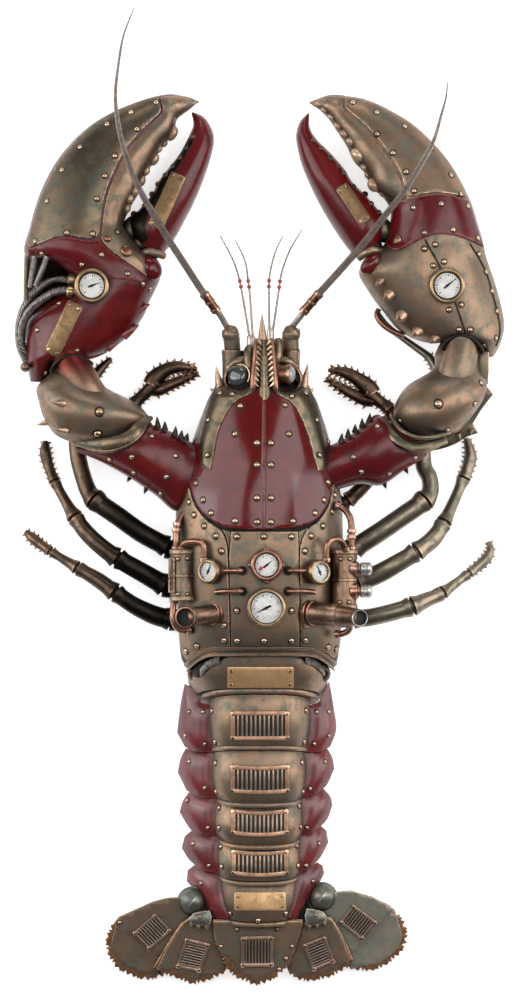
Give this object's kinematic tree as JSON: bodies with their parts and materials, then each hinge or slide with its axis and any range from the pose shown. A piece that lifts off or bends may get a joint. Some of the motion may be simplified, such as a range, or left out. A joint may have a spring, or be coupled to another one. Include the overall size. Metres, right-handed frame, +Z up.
{
  "type": "steampunk lobster sculpture",
  "caption": "Metal lobster sculpture in steampunk style: bronze body and claws, dark red enamel plates, copper pipes, brass pressure gauges and a fanned tail.",
  "frame": {"origin": "under the middle of the sculpture's bounding box, on the surface that its belly rests on", "axes": "+Y runs from the tail fan to the claws and antennae, +X to the viewer's right when the sculpture is seen from above with its head up, +Z up out of the back"},
  "size_m": [0.491, 0.9771, 0.1312],
  "materials": {
    "aged_bronze": "aged bronze, brown with green in its hollows and worn bright edges",
    "dark_bronze": "dark oiled bronze, worn at the edges",
    "oxblood_enamel": "glossy dark red enamel, scuffed at the edges",
    "copper_tube": "handled copper, satin, with darker oxide",
    "brass": "satin brass, lightly tarnished",
    "wire_steel": "grey steel with brown in its hollows",
    "lens_glass": "dark polished glass",
    "dial_white": "matt off-white dial paint",
    "tooth_bone": "worn bone-coloured teeth"
  },
  "bodies": {
    "root": {"thorax": "aged_bronze", "shield_left": "oxblood_enamel", "shield_right": "oxblood_enamel", "rostrum": "aged_bronze", "rear_rim": "aged_bronze", "eye_left": "lens_glass", "eye_right": "lens_glass", "antenna_socket_left": "dark_bronze", "antenna_socket_right": "dark_bronze", "antenna_left": "wire_steel", "antenna_right": "wire_steel", "feelers_left": "wire_steel", "feelers_right": "wire_steel", "gauge_upper": "brass", "gauge_lower": "brass", "gauge_left": "brass", "gauge_right": "brass", "canister_left": "aged_bronze", "canister_right": "aged_bronze", "exhaust_left": "copper_tube", "exhaust_right": "copper_tube", "tail_ring_1": "aged_bronze", "tail_ring_2": "aged_bronze", "tail_ring_3": "aged_bronze", "tail_ring_4": "aged_bronze", "tail_ring_5": "aged_bronze", "tail_ring_6": "aged_bronze", "side_plate_left_2": "oxblood_enamel", "side_plate_left_3": "oxblood_enamel", "side_plate_left_4": "oxblood_enamel", "side_plate_left_5": "oxblood_enamel", "side_plate_left_6": "oxblood_enamel", "side_plate_right_2": "oxblood_enamel", "side_plate_right_3": "oxblood_enamel", "side_plate_right_4": "oxblood_enamel", "side_plate_right_5": "oxblood_enamel", "side_plate_right_6": "oxblood_enamel", "telson": "aged_bronze", "inner_fin_left": "aged_bronze", "inner_fin_right": "aged_bronze", "outer_fin_left": "aged_bronze", "outer_fin_right": "aged_bronze", "upper_arm_left": "oxblood_enamel", "upper_arm_right": "oxblood_enamel", "elbow_left": "aged_bronze", "elbow_right": "aged_bronze", "palm_left": "oxblood_enamel", "palm_right": "aged_bronze", "finger_left": "oxblood_enamel", "finger_right": "oxblood_enamel", "claw_cable_outer": "wire_steel", "claw_cable_inner": "wire_steel", "leg_left_1": "dark_bronze", "leg_left_2": "dark_bronze", "leg_left_3": "dark_bronze", "leg_left_4": "dark_bronze", "leg_right_1": "dark_bronze", "leg_right_2": "dark_bronze", "leg_right_3": "dark_bronze", "leg_right_4": "dark_bronze"}
  },
  "joints": []
}
